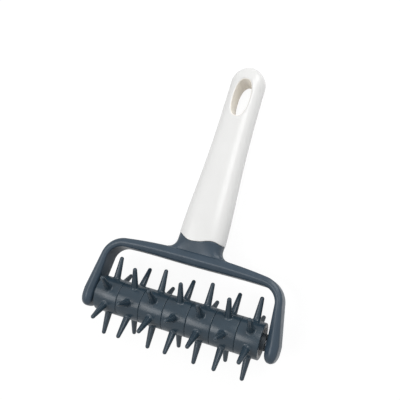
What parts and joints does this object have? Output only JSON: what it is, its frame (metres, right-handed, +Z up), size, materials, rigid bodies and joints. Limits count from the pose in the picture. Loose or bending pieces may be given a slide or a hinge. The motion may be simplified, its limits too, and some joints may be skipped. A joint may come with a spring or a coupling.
{
  "type": "dough docker",
  "caption": "Hand roller with rows of blunt spikes for pricking dough, free-turning in a U-shaped yoke on a moulded handle with a hanging eye.",
  "frame": {"origin": "centre of the footprint at the height of the table the tool lies on: z = 0 touches the lowest spike tip and the handle's end", "axes": "+Y along the tool from the roller to the handle's end, +X along the roller to the arm with the blind axle socket, +Z up from the table"},
  "size_m": [0.1328, 0.196, 0.0518],
  "materials": {
    "slate_plastic": "satin moulded plastic, slate blue",
    "white_plastic": "glossy moulded plastic, white",
    "dark_plastic": "matte moulded plastic, dark slate",
    "steel": "drawn stainless rod"
  },
  "bodies": {
    "handle_frame": {"yoke_frame": "slate_plastic", "handle_shell": "white_plastic", "axle_rod": "steel", "axle_plug": "slate_plastic"},
    "roller": {"roller_core": "slate_plastic", "left_end_bush": "dark_plastic", "right_end_bush": "dark_plastic", "spiked_ring_1": "slate_plastic", "spiked_ring_2": "slate_plastic", "spiked_ring_3": "slate_plastic", "spiked_ring_4": "slate_plastic", "spiked_ring_5": "slate_plastic", "spiked_ring_6": "slate_plastic", "spiked_ring_7": "slate_plastic"}
  },
  "joints": [
    {"name": "roller_spin", "type": "hinge", "parent": "handle_frame", "child": "roller", "pos_m": [0, -0.07211, 0.02588], "axis": [1, 0, 0], "continuous": true}
  ]
}
